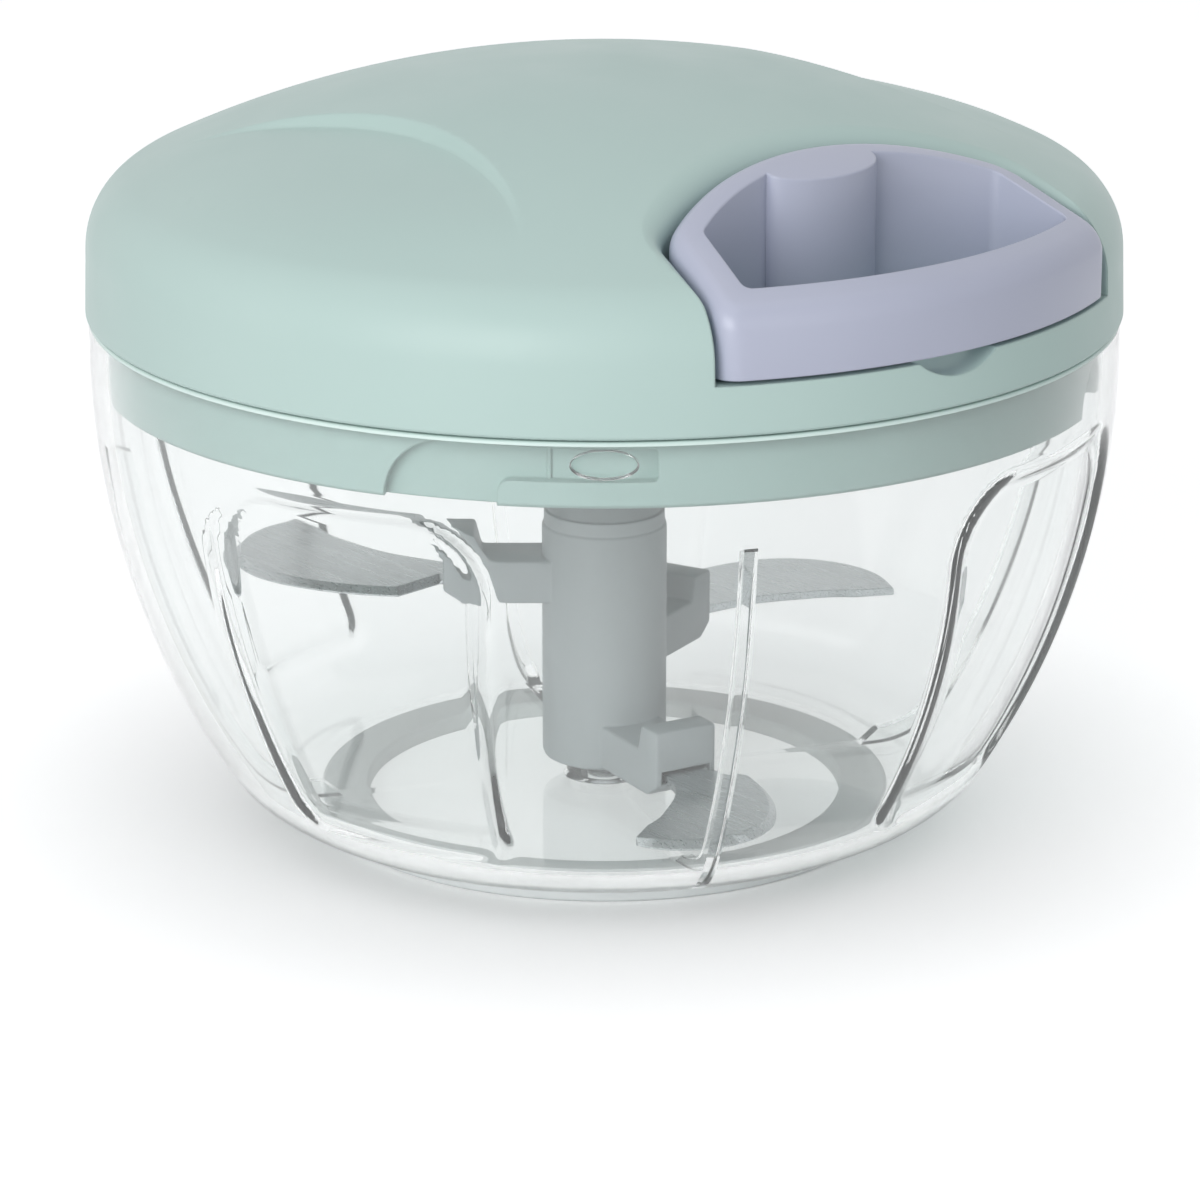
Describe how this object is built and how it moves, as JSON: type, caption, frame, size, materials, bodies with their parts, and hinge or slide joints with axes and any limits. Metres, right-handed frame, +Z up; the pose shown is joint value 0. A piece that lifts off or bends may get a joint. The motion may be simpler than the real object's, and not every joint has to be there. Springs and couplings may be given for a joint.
{
  "type": "manual food chopper",
  "caption": "Hand-pulled food chopper: a clear bowl with a curved-blade rotor under a domed mint lid whose lavender-grey handle pulls a cord off a sprung reel.",
  "frame": {"origin": "middle of the foot's underside, on the surface that the chopper stands on", "axes": "+Z up along the rotor's axis, +X the way the handle is pulled"},
  "size_m": [0.125, 0.125, 0.0942],
  "materials": {
    "clear": "clear moulded plastic",
    "foot": "soft translucent white",
    "steel": "ground stainless steel",
    "spring_steel": "blued spring strip",
    "grey": "satin grey plastic",
    "mint": "satin mint plastic",
    "mint_base": "satin mint plastic",
    "lavender": "satin lavender-grey plastic",
    "white": "plain white plastic",
    "cord": "braided cord"
  },
  "bodies": {
    "bowl": {"bowl": "clear", "foot_pad": "foot", "centre_pin": "steel"},
    "axle": {"reel_axle": "steel"},
    "lid": {"lid_cover": "mint", "lid_base": "mint_base", "screw_1": "steel", "screw_2": "steel", "screw_3": "steel", "screw_4": "steel", "mainspring": "spring_steel", "cord_lead": "cord", "cord_guide": "steel"},
    "handle": {"handle": "lavender", "cord_pull": "cord", "cord_knot": "cord"},
    "reel": {"reel": "white", "reel_cap": "white", "cord_coil": "cord"},
    "drive_hub": {"drive_hub": "white"},
    "blade_rotor": {"blade_shaft": "grey", "blade_lower": "steel", "blade_middle": "steel", "blade_upper": "steel"},
    "pawl_1": {"pawl_1": "steel"},
    "pawl_2": {"pawl_2": "steel"}
  },
  "joints": [
    {"name": "lid_lift", "type": "slide", "parent": "bowl", "child": "axle", "axis": [0, 0, 1], "range_m": [0, 0.09]},
    {"name": "lid_turn", "type": "hinge", "parent": "axle", "child": "lid", "pos_m": [0, 0, 0], "axis": [0, 0, 1], "range_deg": [0, 17.5]},
    {"name": "handle_pull", "type": "slide", "parent": "lid", "child": "handle", "axis": [1, 0, 0], "range_m": [0, 0.45], "stiffness_N_per_m": 8, "springref_m": -0.5, "deforming": ["cord_pull", "cord_lead"]},
    {"name": "reel_spin", "type": "hinge", "parent": "lid", "child": "reel", "pos_m": [0, 0, 0], "axis": [0, 0, 1], "range_deg": [0, 1290], "deforming": ["mainspring"]},
    {"name": "hub_spin", "type": "hinge", "parent": "lid", "child": "drive_hub", "pos_m": [0, 0, 0], "axis": [0, 0, 1], "range_deg": [0, 1290]},
    {"name": "blade_spin", "type": "hinge", "parent": "bowl", "child": "blade_rotor", "pos_m": [0, 0, 0], "axis": [0, 0, 1], "range_deg": [0, 1290]},
    {"name": "pawl_1_lift", "type": "hinge", "parent": "reel", "child": "pawl_1", "pos_m": [0.0155, -0.01046, 0.07], "axis": [0, 0, -1], "range_deg": [0, 12], "stiffness_Nm_per_rad": 0.0002, "springref_deg": -5.73},
    {"name": "pawl_2_lift", "type": "hinge", "parent": "reel", "child": "pawl_2", "pos_m": [-0.0155, 0.01046, 0.07], "axis": [0, 0, -1], "range_deg": [0, 12]}
  ],
  "couplings": [
    {"joint": "reel_spin", "follows": "handle_pull", "rad_per_m": 50},
    {"joint": "hub_spin", "follows": "handle_pull", "rad_per_m": 50},
    {"joint": "blade_spin", "follows": "handle_pull", "rad_per_m": 50},
    {"joint": "pawl_2_lift", "follows": "pawl_1_lift", "ratio": 1}
  ]
}
